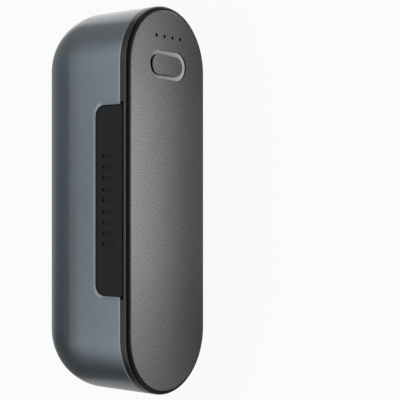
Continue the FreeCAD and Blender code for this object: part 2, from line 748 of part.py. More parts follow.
def make_board_capacitors():
    chips = []
    y = board_screw_high
    for index in range(CAPACITOR_COUNT):
        x = CAPACITOR_PITCH * (index - (CAPACITOR_COUNT - 1) / 2)
        chips.append(block(x - CAPACITOR_WIDTH / 2, x + CAPACITOR_WIDTH / 2, y - CAPACITOR_LENGTH / 2,
                           y + CAPACITOR_LENGTH / 2, board_top, board_top + CAPACITOR_HEIGHT))
    return Part.makeCompound(chips)


def screw(x, y, seat):
    """Slotted pan-head screw whose head sits on the seat."""
    top = seat + SCREW_HEAD_HEIGHT
    body = rod(x, y, SCREW_HEAD_RADIUS, seat, top).fuse(rod(x, y, SCREW_RADIUS, seat - SCREW_LENGTH, seat))
    half = SCREW_SLOT_WIDTH / 2
    floor = top - SCREW_SLOT_DEPTH
    slot = block(x - half, x + half, y - SCREW_HEAD_RADIUS, y + SCREW_HEAD_RADIUS, floor, top)
    return body.cut(slot)


def make_board_screws():
    return Part.makeCompound([screw(x, y, board_top) for x, y in board_screw_places])


def make_bezel_screws():
    seat = web_top - SCREW_HEAD_HEIGHT - SEAT_GAP
    return Part.makeCompound([screw(x, y, seat) for x, y in post_places])


def make_battery_cell():
    can = lying_rod(cell_radius, -cell_end, cell_end - CELL_CAP_HEIGHT)
    return can.makeFillet(CELL_EDGE_ROUNDING, [edge for edge in can.Edges if edge.Closed])


def make_cell_positive_cap():
    return lying_rod(CELL_CAP_DIAMETER / 2, cell_end - CELL_CAP_HEIGHT, cell_end)


def make_cell_insulator_ring():
    low = cell_end - CELL_CAP_HEIGHT
    high = low + CELL_RING_THICKNESS
    inner = CELL_CAP_DIAMETER / 2 + CELL_CLEARANCE
    return lying_rod(inner + CELL_RING_WIDTH, low, high).cut(lying_rod(inner, low, high))


def make_positive_tab():
    half = TAB_WIDTH / 2
    return block(-half, half, cell_end, cell_end + TAB_THICKNESS, cell_z - TAB_REACH, board_bottom)


def make_negative_tab():
    half = TAB_WIDTH / 2
    outer = -cell_end - TAB_THICKNESS
    riser = block(-half, half, outer, -cell_end, cell_z - TAB_REACH, board_bottom)
    run = block(-half, half, outer, board_low + LEAD_OVERLAP, board_bottom - TAB_THICKNESS, board_bottom)
    return riser.fuse(run).removeSplitter()


def foam_pad(x, y):
    half = PAD_WIDTH / 2
    pad = block(x - half, x + half, y - PAD_LENGTH / 2, y + PAD_LENGTH / 2, cell_z, board_bottom)
    return pad.cut(lying_rod(cell_radius, y - PAD_LENGTH, y + PAD_LENGTH))


def make_cell_foam_pads():
    beside_socket = mouth - USB_A_DEPTH - BOARD_GAP - PAD_WIDTH / 2
    return Part.makeCompound([foam_pad(beside_socket, usb_a_y), foam_pad(0, board_screw_high)])


def make_rear_heater_film():
    film = rounded_back(film_outer, film_top).cut(rounded_back(film_inner, film_top + CUT_PAST))
    half = FILM_LENGTH / 2
    return film.common(block(-half_width, half_width, -half, half, 0, film_top)).removeSplitter()


def make_front_heater_film():
    top = plate_bottom - FILM_GAP
    bottom = top - FILM_THICKNESS
    film = body_form(adhesive_inner + FILM_EDGE_GAP, bottom, top)
    return film.common(block(-half_width, half_width, -half_length, front_film_end, bottom, top))


def make_rear_heater_leads():
    """Two leads from the rear film's edge, past the cradle wall, up to the board."""
    radius = LEAD_DIAMETER / 2
    low_x = -(half_width - film_inner - SEAT_GAP - radius)
    high_x = -(cradle_half + 2 * SEAT_GAP + radius)
    leads = []
    for side in (-1, 1):
        y = (rib_pitch + side * LEAD_SPACING) / 2
        points = [Vector(low_x, y, back_radius), Vector(low_x, y, film_top)]
        points.append(Vector(high_x, y, (film_top + flange_back) / 2 + LEAD_BEND))
        points.append(Vector(high_x, y, board_bottom))
        leads.append(cable(points, radius, LEAD_BEND))
    return Part.makeCompound(leads)


def make_front_heater_leads():
    """Two leads from the front film through the bezel's slot to the board."""
    middle = (web_bottom + board_top) / 2
    leads = []
    for side in (-1, 1):
        x = side * LEAD_SPACING / 2
        points = [Vector(x, lead_slot_y, web_top), Vector(x, lead_slot_y, middle)]
        points.append(Vector(x, board_low + LEAD_OVERLAP, middle))
        points.append(Vector(x, board_low + LEAD_OVERLAP, board_top))
        leads.append(cable(points, LEAD_DIAMETER / 2, LEAD_BEND))
    return Part.makeCompound(leads)


def make_temperature_sensor():
    half = SENSOR_WIDTH / 2
    y = rib_pitch / 2
    bottom = film_inner + SEAT_GAP
    return block(-half, half, y - SENSOR_LENGTH / 2, y + SENSOR_LENGTH / 2, bottom, bottom + SENSOR_HEIGHT)


pieces = {
    "shell": make_shell(),
    "bezel": make_bezel(),
    "front_plate": make_front_plate(),
    "plate_adhesive": make_plate_adhesive(),
    "side_grip": make_side_grip(),
    "port_panel": make_port_panel(),
    "power_button": make_power_button(),
    "button_light_ring": make_button_light_ring(),
    "switch_body": make_switch_body(),
    "switch_plunger": make_switch_plunger(),
    "indicator_light_guide": make_indicator_light_guide(),
    "indicator_leds": make_indicator_leds(),
    "ring_leds": make_ring_leds(),
    "chassis": make_chassis(),
    "control_board": make_control_board(),
    "controller_chip": make_controller_chip(),
    "boost_inductor": make_boost_inductor(),
    "board_capacitors": make_board_capacitors(),
    "usb_a_shell": make_socket_shell(usb_a_form, usb_a_y, USB_A_WIDTH, USB_A_DEPTH),
    "usb_a_tongue": make_socket_tongue(usb_a_form, usb_a_y, USB_A_DEPTH, USB_A_TONGUE_WIDTH,
                                       USB_A_TONGUE_HEIGHT, USB_A_TONGUE_OFFSET, USB_A_TONGUE_DEPTH),
    "usb_c_shell": make_socket_shell(usb_c_form, usb_c_y, USB_C_WIDTH, USB_C_DEPTH),
    "usb_c_tongue": make_socket_tongue(usb_c_form, usb_c_y, USB_C_DEPTH, USB_C_TONGUE_WIDTH,
                                       USB_C_TONGUE_HEIGHT, 0, USB_C_TONGUE_DEPTH),
    "usb_a_contacts": make_usb_a_contacts(),
    "usb_c_contacts": make_usb_c_contacts(),
    "board_screws": make_board_screws(),
    "bezel_screws": make_bezel_screws(),
    "battery_cell": make_battery_cell(),
    "cell_positive_cap": make_cell_positive_cap(),
    "cell_insulator_ring": make_cell_insulator_ring(),
    "positive_tab": make_positive_tab(),
    "negative_tab": make_negative_tab(),
    "cell_foam_pads": make_cell_foam_pads(),
    "rear_heater_film": make_rear_heater_film(),
    "front_heater_film": make_front_heater_film(),
    "rear_heater_leads": make_rear_heater_leads(),
    "front_heater_leads": make_front_heater_leads(),
    "temperature_sensor": make_temperature_sensor(),
}

# Turned onto the flat side: the button end points along +X, the front plate faces -Y, the grip is on top,
# and the origin is under the middle of the body.
turn = FreeCAD.Matrix(0, 1, 0, 0, 0, 0, -1, body_depth / 2, -1, 0, 0, half_width, 0, 0, 0, 1)

os.makedirs("parts", exist_ok=True)
for name, shape in pieces.items():
    shape.transformed(turn).exportStep("parts/" + name + ".step")
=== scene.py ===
import bmesh
import bpy
import json
import math
from mathutils import Matrix, Vector


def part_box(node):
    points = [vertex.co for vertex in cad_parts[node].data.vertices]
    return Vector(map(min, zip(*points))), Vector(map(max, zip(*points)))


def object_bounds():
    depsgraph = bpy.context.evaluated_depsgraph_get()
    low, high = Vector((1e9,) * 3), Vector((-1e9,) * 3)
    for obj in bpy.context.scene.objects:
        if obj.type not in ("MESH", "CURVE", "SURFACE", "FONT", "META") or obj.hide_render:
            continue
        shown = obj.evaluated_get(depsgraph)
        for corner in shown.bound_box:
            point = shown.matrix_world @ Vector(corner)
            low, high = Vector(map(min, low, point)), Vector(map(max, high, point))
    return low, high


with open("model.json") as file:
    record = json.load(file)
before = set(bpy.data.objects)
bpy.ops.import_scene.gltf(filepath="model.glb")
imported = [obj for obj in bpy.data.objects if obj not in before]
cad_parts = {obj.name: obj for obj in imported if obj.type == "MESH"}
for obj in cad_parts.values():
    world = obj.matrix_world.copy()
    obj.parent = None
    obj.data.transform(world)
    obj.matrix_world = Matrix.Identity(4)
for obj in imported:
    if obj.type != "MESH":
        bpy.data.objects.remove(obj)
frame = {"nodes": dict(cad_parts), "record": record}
cad_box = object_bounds()

MM = 0.001

# The part's middle and its limits: both ends along X, the plate's face along -Y, the round back and the
# shell's front edge along Y, and the lowest and highest points along Z
CENTRE = (cad_box[0] + cad_box[1]) / 2
FAR_END = cad_box[0].x
BUTTON_END = cad_box[1].x
PLATE_FACE = -cad_box[0].y
ROUND_BACK = cad_box[1].y
SHELL_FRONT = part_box("shell")[0].y
LOWEST = cad_box[0].z
HIGHEST = cad_box[1].z

# Camera: its turn from straight in front of the plate up towards the grip, its distance from the part's
# middle, its steps sideways and along the body, and its lens
CAMERA_TURN = math.radians(53.34)
CAMERA_DISTANCE = 293.2 * MM
CAMERA_SIDE_STEP = 23.24 * MM
CAMERA_END_STEP = 0.13 * MM
CAMERA_LENS = 93.9
CAMERA_SENSOR = 36.0
CAMERA_NEAR = 10 * MM

# Directions in the part's frame. The button end is at the top of the camera's view
TO_RIGHT = Vector((0, -math.sin(CAMERA_TURN), -math.cos(CAMERA_TURN)))
TO_CAMERA = Vector((0, -math.cos(CAMERA_TURN), math.sin(CAMERA_TURN)))
TO_BUTTON = Vector((1, 0, 0))
TO_FRONT = Vector((0, -1, 0))
TO_BACK = Vector((0, 1, 0))
UPWARDS = Vector((0, 0, 1))

# Floor: a plain square just under the part, its share of white to the camera, and how far it is dimmed in
# reflections, which is painted shade
FLOOR_SIZE = 8.0
FLOOR_GAP = 0.02 * MM
FLOOR_COLOUR = (0.5, 0.5, 0.5, 1)
FLOOR_ROUGHNESS = 0.9
FLOOR_TO_CAMERA = 0.94
FLOOR_DIM = 0.54

# Painted light on the floor in reflections, in front of the plate, with painted shade close to it: where
# the white starts, how it grows with the distance, and its shares beside the far end and the button end
FRONT_START = (PLATE_FACE - 6 * MM, PLATE_FACE - 1 * MM)
FRONT_FADE = (PLATE_FACE + 5 * MM, PLATE_FACE + 38 * MM)
FRONT_START_SHARE = 0.18
FRONT_FAR_FADE = (-65 * MM, -15 * MM)
FRONT_FAR_SHARE = 0.3
FRONT_BUTTON_FADE = (70 * MM, 25 * MM)
FRONT_BUTTON_SHARE = 0.32

# Painted pool of light on the floor in reflections, past the button end: where it starts, where it stops
# ahead of the part's middle, and how it weakens slantwise towards the back
END_FADE = (BUTTON_END - 1 * MM, BUTTON_END + 9 * MM)
END_AHEAD = (36 * MM, 13 * MM)
END_SLANT = Vector((-0.45, 1, 0))
END_SLANT_FADE = (10 * MM, 52 * MM)
END_SLANT_SHARE = 0.1

# Painted light on the floor in reflections, past the far end, which is the foot of the view: the same, by a
# smaller share
FOOT_FADE = (FAR_END + 1 * MM, FAR_END - 9 * MM)
FOOT_SHARE = 0.34
FOOT_AHEAD = (20 * MM, 0)
FOOT_SLANT = Vector((0.45, 1, 0))
FOOT_SLANT_FADE = (2 * MM, 18 * MM)

# Painted light on the floor in reflections, behind the part: where it starts, its share, and where it stops
# past the foot
BACK_FADE = (ROUND_BACK + 2 * MM, ROUND_BACK + 12 * MM)
BACK_SHARE = 0.19
BACK_FOOT_FADE = (FAR_END - 16 * MM, FAR_END)

# World light is a strength for each direction, and its spans are cosines. Panel: broad and soft, over the
# grip side, and reaching further back towards both ends
PANEL_LEVEL = 2.01
PANEL_SIDE = (0.45, 0.72)
PANEL_EDGE = (0.1, 0.38)
PANEL_FAR_BEND = 0.3
PANEL_BUTTON_BEND = 0.255

# Low light behind the part: it rises in two steps from the far end to the button end, and stops overhead
FAR_END_LEVEL = 0.14
MIDDLE_LEVEL = 0.32
MIDDLE_SPAN = (-0.28, 0.2)
BUTTON_END_RISE = 0.2
BUTTON_END_SPAN = (0.56, 0.82)
LOW_TOP = (0.85, 0.5)
LOW_BACK = (-0.2, 0.3)

# Side light: an upright strip past each end, a little behind the plate's plane
SIDE_LEVEL = 0.9
SIDE_SPAN = (0.3, 0.75)
SIDE_BACK = (-0.5, -0.3)
SIDE_FRONT = (-0.2, 0)

# The rest of the room, and what the camera sees of the world
ROOM_LEVEL = 0.1
WORLD_TO_CAMERA = 0.96

# The span that noise mostly stays within
NOISE_SPAN = (0.3, 0.7)

# Plate and button: their speckle is the same at every depth, and a face that turns this far from the
# plate's plane is a wall painted black, which is painted shade in the holes, the opening and on the
# button's sides
SPECKLE_STRETCH = (1, 0, 1)
WALL_LEAN = (0.5, 0.3)
WALL_PAINTED_SHADE = (0.008, 0.008, 0.008)
WALL_ROUGHNESS = 0.5

# Light ring: a painted glow, since the ring is no lamp. This painted light is faint above and strong
# towards the side that the part rests on
RING_COLOUR = (0.85, 0.85, 0.86)
RING_PAINTED_GLOW = 0.29
RING_PAINTED_GLOW_FAINT = 0.52
RING_PAINTED_GLOW_HEIGHT = (CENTRE.z + 1 * MM, CENTRE.z - 7.5 * MM)

# Shell, painted reflection tint: faces that lean towards the back are painted bluer, standing in for the
# tone of the reflections there
PAINTED_TINT_LEAN = (0, 0.4)
PAINTED_REFLECTION_TINT = (0.965, 1.11, 1.2)

# Shell, polished edge: where the round back meets the flat sides, its reach to either side, and its lean at
# two places along the body
BACK_EDGE = ROUND_BACK - 15.8 * MM
SOFT_SIDE = (BACK_EDGE - 4 * MM, BACK_EDGE)
SOFT_BACK = (BACK_EDGE, BACK_EDGE + 2.2 * MM)
SOFT_LEAN = (0.078, 0.048)
SOFT_LENGTH = (-42 * MM, 5 * MM)

# Shell, bevel round each side notch: its lean from the flat side, its height from the part's middle, where
# it starts behind the shell's front edge, and its finish: rougher, and painted darker as painted shade that
# tones down its highlight
BEVEL_LEAN = (math.cos(math.radians(12)), math.cos(math.radians(16)))
BEVEL_HEIGHT = (HIGHEST - CENTRE.z - 0.45 * MM, HIGHEST - CENTRE.z - 0.3 * MM)
BEVEL_BEHIND = (SHELL_FRONT + 0.6 * MM, SHELL_FRONT + 1.2 * MM)
BEVEL_PAINTED_SHADE = (0.112, 0.139, 0.161)
BEVEL_ROUGHNESS = 0.36

# Circuit board: the size of the tracks' pattern, half their width as a share of it, and their finish
TRACK_SIZE = 3 * MM
TRACK_HALF_WIDTH = 0.07
TRACK_COLOUR = (0.04, 0.24, 0.11)
TRACK_ROUGHNESS = 0.35
TRACK_TURN = (math.radians(90), 0, 0)

# Heater film: the size of the foil's pattern, which holds about three bands, their edges, and their finish
FOIL_SIZE = 8 * MM
FOIL_EDGE = (0.45, 0.55)
FOIL_COLOUR = (0.42, 0.22, 0.1)
FOIL_ROUGHNESS = 0.32

# Foam: the size of its cells, their edges, how dark they are in the middle, and their finish
CELL_SIZE = 0.6 * MM
CELL_EDGE = (0.0, 0.35)
CELL_SHARE = 0.7
CELL_COLOUR = (0.01, 0.01, 0.011)
CELL_ROUGHNESS = 0.95


def add_node(tree, kind, **settings):
    """A new shader node, with its properties and unlinked inputs set by name."""
    node = tree.nodes.new(kind)
    for key, value in settings.items():
        if key in node.inputs:
            node.inputs[key].default_value = value
        else:
            setattr(node, key, value)
    return node


def combine(tree, operation, *values):
    """The sum, the product or the largest of some values."""
    result = values[0]
    for value in values[1:]:
        node = add_node(tree, "ShaderNodeMath", operation=operation)
        tree.links.new(result, node.inputs[0])
        tree.links.new(value, node.inputs[1])
        result = node.outputs[0]
    return result


def unsigned(tree, source):
    """A value without its sign."""
    node = add_node(tree, "ShaderNodeMath", operation="ABSOLUTE")
    tree.links.new(source, node.inputs[0])
    return node.outputs[0]


def along(tree, vector, direction):
    """How far a vector reaches along a direction."""
    node = add_node(tree, "ShaderNodeVectorMath", operation="DOT_PRODUCT")
    tree.links.new(vector, node.inputs[0])
    node.inputs[1].default_value = direction
    return node.outputs["Value"]


def ramp(tree, source, span, low, high, curve="SMOOTHSTEP"):
    """A value that goes from low to high while the source goes over the span."""
    node = add_node(tree, "ShaderNodeMapRange", interpolation_type=curve)
    for name, value in zip(("From Min", "From Max", "To Min", "To Max"), (*span, low, high)):
        node.inputs[name].default_value = value
    tree.links.new(source, node.inputs["Value"])
    return node.outputs["Result"]


def mix(tree, share, source, number):
    """A value that goes from the source to a fixed number while the share goes from 0 to 1."""
    node = add_node(tree, "ShaderNodeMix", data_type="FLOAT", B=number)
    tree.links.new(share, node.inputs["Factor"])
    tree.links.new(source, node.inputs["A"])
    return node.outputs["Result"]


def blend(tree, share, first, second, kind="MIX"):
    """A colour between two others, each of them fixed or linked."""
    node = add_node(tree, "ShaderNodeMix", data_type="RGBA", blend_type=kind)
    tree.links.new(share, node.inputs["Factor"])
    for socket, colour in zip([node.inputs[6], node.inputs[7]], (first, second)):
        if isinstance(colour, bpy.types.NodeSocket):
            tree.links.new(colour, socket)
        else:
            socket.default_value = (*colour, 1)
    return node.outputs[2]


def mix_shaders(tree, share, first, second):
    """A shader between two others."""
    node = add_node(tree, "ShaderNodeMixShader")
    tree.links.new(share, node.inputs["Fac"])
    tree.links.new(first, node.inputs[1])
    tree.links.new(second, node.inputs[2])
    return node.outputs["Shader"]


def shade(colour, share):
    """A colour made darker or lighter."""
    return [min(1.0, channel * share) for channel in colour]


def new_material(name):
    """A new node material, its tree and its Principled shader."""
    material = bpy.data.materials.new(name)
    material.use_nodes = True
    return material, material.node_tree, material.node_tree.nodes["Principled BSDF"]


def placed(tree, size, stretch=(1, 1, 1), turn=(0, 0, 0)):
    """The part's own coordinates, measured in steps of size."""
    place = add_node(tree, "ShaderNodeTexCoord")
    scale = add_node(tree, "ShaderNodeMapping", Rotation=turn)
    scale.inputs["Scale"].default_value = [part / size for part in stretch]
    tree.links.new(place.outputs["Object"], scale.inputs["Vector"])
    return scale.outputs["Vector"]


def grain(tree, size, detail=2.0, stretch=(1, 1, 1)):
    """Noise whose features measure about size."""
    noise = add_node(tree, "ShaderNodeTexNoise", Scale=1.0, Detail=detail)
    tree.links.new(placed(tree, size, stretch), noise.inputs["Vector"])
    return noise.outputs["Fac"]


class Finish:
    """A material whose colour, gloss and surface vary with one fine grain. More can be laid on it."""

    def __init__(self, name, colour, tone, size, roughness, bump, metallic=0.0, stretch=(1, 1, 1),
                 detail=2.0, specular=0.5, coat=0.0, coat_roughness=0.03, sheen=0.0):
        self.material, self.tree, self.shader = new_material(name)
        self.shader.inputs["Metallic"].default_value = metallic
        self.shader.inputs["Specular IOR Level"].default_value = specular
        self.shader.inputs["Coat Weight"].default_value = coat
        self.shader.inputs["Coat Roughness"].default_value = coat_roughness
        self.shader.inputs["Sheen Weight"].default_value = sheen
        noise = grain(self.tree, size, detail, stretch)
        share = ramp(self.tree, noise, NOISE_SPAN, 0, 1, "LINEAR")
        self.colour = blend(self.tree, share, shade(colour, 1 - tone), shade(colour, 1 + tone))
        self.roughness = ramp(self.tree, noise, NOISE_SPAN, *roughness, "LINEAR")
        self.bump = add_node(self.tree, "ShaderNodeBump", Distance=bump)
        self.tree.links.new(noise, self.bump.inputs["Height"])
        self.tree.links.new(self.bump.outputs["Normal"], self.shader.inputs["Normal"])

    def mottle(self, size, tone):
        """Lay a broad, faint change of tone on it."""
        broad = ramp(self.tree, grain(self.tree, size), NOISE_SPAN, 0, tone, "LINEAR")
        self.colour = blend(self.tree, broad, self.colour, (0, 0, 0))

    def layer(self, mask, colour, roughness):
        """Lay another colour and gloss on it where the mask is 1."""
        self.colour = blend(self.tree, mask, self.colour, colour)
        self.roughness = mix(self.tree, mask, self.roughness, roughness)

    def done(self):
        """The finished material."""
        self.tree.links.new(self.colour, self.shader.inputs["Base Color"])
        self.tree.links.new(self.roughness, self.shader.inputs["Roughness"])
        return self.material


def shell_finish():
    """Fine-blasted aluminium under a clear anodised layer."""
    finish = Finish("blasted_aluminium", colour=(0.128, 0.159, 0.184), tone=0.09, size=0.26 * MM,
                    roughness=(0.27, 0.35), bump=0.004 * MM, metallic=1.0, coat=1.0, coat_roughness=0.22)
    finish.mottle(size=7 * MM, tone=0.05)
    paint_back_reflection_tint(finish)
    soften_edge(finish)
    dull_and_shade_bevel(finish)
    return finish.done()


def paint_back_reflection_tint(finish):
    """The round back is painted bluer, a painted reflection tint."""
    tree = finish.tree
    normal = add_node(tree, "ShaderNodeNewGeometry").outputs["Normal"]
    rounded = ramp(tree, along(tree, normal, TO_BACK), PAINTED_TINT_LEAN, 0, 1)
    finish.colour = blend(tree, rounded, finish.colour, PAINTED_REFLECTION_TINT, "MULTIPLY")


def soften_edge(finish):
    """The polish lets the round back run out softly into the flat sides."""
    tree = finish.tree
    geometry = add_node(tree, "ShaderNodeNewGeometry").outputs
    past = along(tree, geometry["Position"], TO_BUTTON)
    behind = along(tree, geometry["Position"], TO_BACK)
    lean = combine(tree, "MULTIPLY",
                   ramp(tree, past, SOFT_LENGTH, *SOFT_LEAN, "LINEAR"),
                   ramp(tree, behind, SOFT_SIDE, 0, 1, "LINEAR"),
                   ramp(tree, behind, SOFT_BACK, 1, 0, "LINEAR"))
    turned = add_node(tree, "ShaderNodeVectorMath", operation="MULTIPLY_ADD")
    turned.inputs[0].default_value = TO_BACK
    tree.links.new(lean, turned.inputs[1])
    tree.links.new(geometry["Normal"], turned.inputs[2])
    unit = add_node(tree, "ShaderNodeVectorMath", operation="NORMALIZE")
    tree.links.new(turned.outputs["Vector"], unit.inputs[0])
    tree.links.new(unit.outputs["Vector"], finish.bump.inputs["Normal"])


def dull_and_shade_bevel(finish):
    """The bevel round the side notches is rougher than the blasted faces, and painted darker: painted shade
    that tones down its highlight.
    """
    tree = finish.tree
    geometry = add_node(tree, "ShaderNodeNewGeometry").outputs
    lean = unsigned(tree, along(tree, geometry["Normal"], UPWARDS))
    centred = add_node(tree, "ShaderNodeVectorMath", operation="SUBTRACT")
    tree.links.new(geometry["Position"], centred.inputs[0])
    centred.inputs[1].default_value = CENTRE
    height = unsigned(tree, along(tree, centred.outputs["Vector"], UPWARDS))
    behind = along(tree, geometry["Position"], TO_BACK)
    mask = combine(tree, "MULTIPLY",
                   ramp(tree, lean, BEVEL_LEAN, 0, 1),
                   ramp(tree, height, BEVEL_HEIGHT, 0, 1),
                   ramp(tree, behind, BEVEL_BEHIND, 0, 1))
    # Painted shade: the bevel's colour is darker than the shell's
    finish.layer(mask, BEVEL_PAINTED_SHADE, BEVEL_ROUGHNESS)


def plate_finish():
    """Metallic dark grey with a fine speckle on the faces, and walls painted black as painted shade."""
    finish = Finish("metallic_grey", colour=(0.385, 0.385, 0.387), tone=0.43, size=0.36 * MM,
                    roughness=(0.28, 0.38), bump=0.006 * MM, metallic=1.0, stretch=SPECKLE_STRETCH)
    finish.mottle(size=5 * MM, tone=0.04)
    normal = add_node(finish.tree, "ShaderNodeNewGeometry").outputs["Normal"]
    # Painted shade: walls of the holes, the opening and the button's sides are painted black
    wall = ramp(finish.tree, along(finish.tree, normal, TO_FRONT), WALL_LEAN, 0, 1)
    finish.layer(wall, WALL_PAINTED_SHADE, WALL_ROUGHNESS)
    return finish.done()


def ring_finish():
    """Milky diffuser with a painted, uneven glow: the ring is no lamp, and this painted light is faint
    above and strong lower down.
    """
    finish = Finish("milky_diffuser", colour=RING_COLOUR, tone=0.04, size=0.5 * MM, roughness=(0.25, 0.35),
                    bump=0.001 * MM)
    place = add_node(finish.tree, "ShaderNodeNewGeometry").outputs["Position"]
    strong = ramp(finish.tree, along(finish.tree, place, UPWARDS), RING_PAINTED_GLOW_HEIGHT, 0, 1)
    # Painted light: the emission colour is a painted glow, stronger lower down
    glow = blend(finish.tree, strong, shade(RING_COLOUR, RING_PAINTED_GLOW_FAINT), RING_COLOUR)
    finish.tree.links.new(glow, finish.shader.inputs["Emission Color"])
    finish.shader.inputs["Emission Strength"].default_value = RING_PAINTED_GLOW
    return finish.done()


def laminate_finish():
    """Solder-masked board with lighter copper tracks under the mask."""
    finish = Finish("green_laminate", colour=(0.015, 0.11, 0.055), tone=0.1, size=0.2 * MM,
                    roughness=(0.3, 0.4), bump=0.002 * MM, coat=0.4)
    tracks = add_node(finish.tree, "ShaderNodeTexBrick", Scale=1.0, Color1=(0, 0, 0, 1),
                      Color2=(0, 0, 0, 1), Mortar=(1, 1, 1, 1))
    tracks.inputs["Mortar Size"].default_value = TRACK_HALF_WIDTH
    finish.tree.links.new(placed(finish.tree, TRACK_SIZE, turn=TRACK_TURN), tracks.inputs["Vector"])
    finish.layer(tracks.outputs["Color"], TRACK_COLOUR, TRACK_ROUGHNESS)
    return finish.done()


def heater_finish():
    """Amber film with bands of etched foil."""
    finish = Finish("amber_film", colour=(0.5, 0.24, 0.05), tone=0.08, size=0.5 * MM, roughness=(0.22, 0.3),
                    bump=0.002 * MM, coat=0.3)
    foil = add_node(finish.tree, "ShaderNodeTexWave", Scale=1.0)
    finish.tree.links.new(placed(finish.tree, FOIL_SIZE), foil.inputs["Vector"])
    finish.layer(ramp(finish.tree, foil.outputs["Fac"], FOIL_EDGE, 0, 1), FOIL_COLOUR, FOIL_ROUGHNESS)
    return finish.done()


def foam_finish():
    """Closed-cell foam."""
    finish = Finish("black_foam", colour=(0.03, 0.03, 0.033), tone=0.3, size=0.4 * MM,
                    roughness=(0.8, 0.95), bump=0.05 * MM, sheen=0.2)
    cells = add_node(finish.tree, "ShaderNodeTexVoronoi", Scale=1.0)
    finish.tree.links.new(placed(finish.tree, CELL_SIZE), cells.inputs["Vector"])
    hollow = ramp(finish.tree, cells.outputs["Distance"], CELL_EDGE, CELL_SHARE, 0)
    finish.layer(hollow, CELL_COLOUR, CELL_ROUGHNESS)
    return finish.done()


# Finishes with one grain and nothing laid on it
GRAINED = {
    "bezel_black": dict(colour=(0.005, 0.005, 0.005), tone=0.2, size=0.3 * MM, roughness=(0.2, 0.28),
                        bump=0.003 * MM, specular=0.42),
    "panel_black": dict(colour=(0.009, 0.009, 0.009), tone=0.7, size=0.5 * MM, roughness=(0.42, 0.68),
                        bump=0.07 * MM, specular=0.2),
    "guide_clear": dict(colour=(0.004, 0.004, 0.004), tone=0.2, size=0.5 * MM, roughness=(0.3, 0.4),
                        bump=0.001 * MM, specular=0.2),
    "chassis_plastic": dict(colour=(0.06, 0.06, 0.065), tone=0.15, size=0.4 * MM, roughness=(0.5, 0.6),
                            bump=0.01 * MM),
    "component_black": dict(colour=(0.02, 0.02, 0.021), tone=0.25, size=0.15 * MM, roughness=(0.5, 0.65),
                            bump=0.006 * MM),
    "component_ceramic": dict(colour=(0.42, 0.30, 0.19), tone=0.12, size=0.2 * MM, roughness=(0.4, 0.55),
                              bump=0.004 * MM),
    "led_white": dict(colour=(0.85, 0.80, 0.52), tone=0.08, size=0.3 * MM, roughness=(0.15, 0.25),
                      bump=0.002 * MM, coat=0.6),
    "ferrite": dict(colour=(0.07, 0.07, 0.075), tone=0.3, size=0.25 * MM, roughness=(0.55, 0.75),
                    bump=0.012 * MM),
    "socket_steel": dict(colour=(0.60, 0.60, 0.61), tone=0.08, size=0.2 * MM, roughness=(0.22, 0.34),
                         bump=0.002 * MM, metallic=1.0, stretch=(0.1, 1, 1)),
    "socket_plastic": dict(colour=(0.025, 0.025, 0.026), tone=0.2, size=0.3 * MM, roughness=(0.45, 0.55),
                           bump=0.005 * MM),
    "contact_gold": dict(colour=(0.83, 0.60, 0.24), tone=0.06, size=0.15 * MM, roughness=(0.16, 0.26),
                         bump=0.001 * MM, metallic=1.0, stretch=(1, 1, 0.15)),
    "switch_plastic": dict(colour=(0.03, 0.03, 0.032), tone=0.2, size=0.25 * MM, roughness=(0.4, 0.5),
                           bump=0.004 * MM),
    "screw_steel": dict(colour=(0.42, 0.42, 0.44), tone=0.12, size=0.12 * MM, roughness=(0.28, 0.42),
                        bump=0.002 * MM, metallic=1.0),
    "cell_sleeve": dict(colour=(0.03, 0.14, 0.27), tone=0.08, size=1.2 * MM, roughness=(0.22, 0.32),
                        bump=0.01 * MM, stretch=(0.15, 1, 1), coat=0.3),
    "cell_steel": dict(colour=(0.62, 0.61, 0.58), tone=0.08, size=0.2 * MM, roughness=(0.25, 0.38),
                       bump=0.002 * MM, metallic=1.0),
    "insulator_white": dict(colour=(0.78, 0.78, 0.75), tone=0.06, size=0.15 * MM, roughness=(0.7, 0.85),
                            bump=0.01 * MM, detail=6.0),
    "nickel": dict(colour=(0.62, 0.60, 0.55), tone=0.07, size=0.15 * MM, roughness=(0.26, 0.4),
                   bump=0.002 * MM, metallic=1.0, stretch=(1, 0.1, 1)),
    "adhesive_tape": dict(colour=(0.07, 0.07, 0.072), tone=0.2, size=0.3 * MM, roughness=(0.6, 0.75),
                          bump=0.008 * MM),
    "lead_insulation": dict(colour=(0.62, 0.60, 0.56), tone=0.06, size=0.4 * MM, roughness=(0.45, 0.55),
                            bump=0.004 * MM, sheen=0.1),
}

# The finish of each material slot in the record, on every node that has the slot
materials = {slot: Finish(slot, **finish).done() for slot, finish in GRAINED.items()}
materials["shell_aluminium"] = shell_finish()
materials["plate_metal"] = plate_finish()
materials["ring_diffuser"] = ring_finish()
materials["board_laminate"] = laminate_finish()
materials["heater_film"] = heater_finish()
materials["foam_black"] = foam_finish()

for node in frame["record"]["subparts"]:
    piece = frame["nodes"][node["node"]]
    piece.data.materials[0] = materials[node["material_slot"]]


def make_floor():
    """Wide plain floor that the part lies on."""
    mesh = bpy.data.meshes.new("floor")
    shape = bmesh.new()
    bmesh.ops.create_grid(shape, x_segments=1, y_segments=1, size=FLOOR_SIZE / 2)
    shape.to_mesh(mesh)
    shape.free()
    floor = bpy.data.objects.new("floor", mesh)
    floor.location.z = LOWEST - FLOOR_GAP
    bpy.context.scene.collection.objects.link(floor)
    mesh.materials.append(floor_material())


